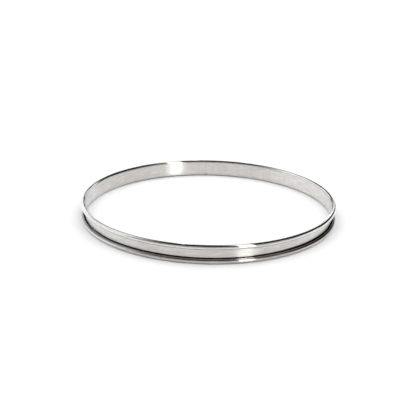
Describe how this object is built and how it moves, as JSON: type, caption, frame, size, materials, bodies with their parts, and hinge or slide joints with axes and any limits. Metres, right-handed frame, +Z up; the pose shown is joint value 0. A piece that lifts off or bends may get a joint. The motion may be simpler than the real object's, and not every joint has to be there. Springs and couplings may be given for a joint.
{
  "type": "tart ring",
  "caption": "Low round stainless tart ring with straight plain walls and hollow edges rolled outwards along the top and bottom, open through the middle.",
  "frame": {"origin": "on the ring's axis, in the plane that the ring rests on", "axes": "+Z up along the ring's axis; X and Y lie in the resting plane and the weld across the strip is on +Y"},
  "size_m": [0.29, 0.29, 0.02],
  "materials": {
    "steel": "fine brushed stainless"
  },
  "bodies": {
    "root": {"tart_ring": "steel"}
  },
  "joints": []
}
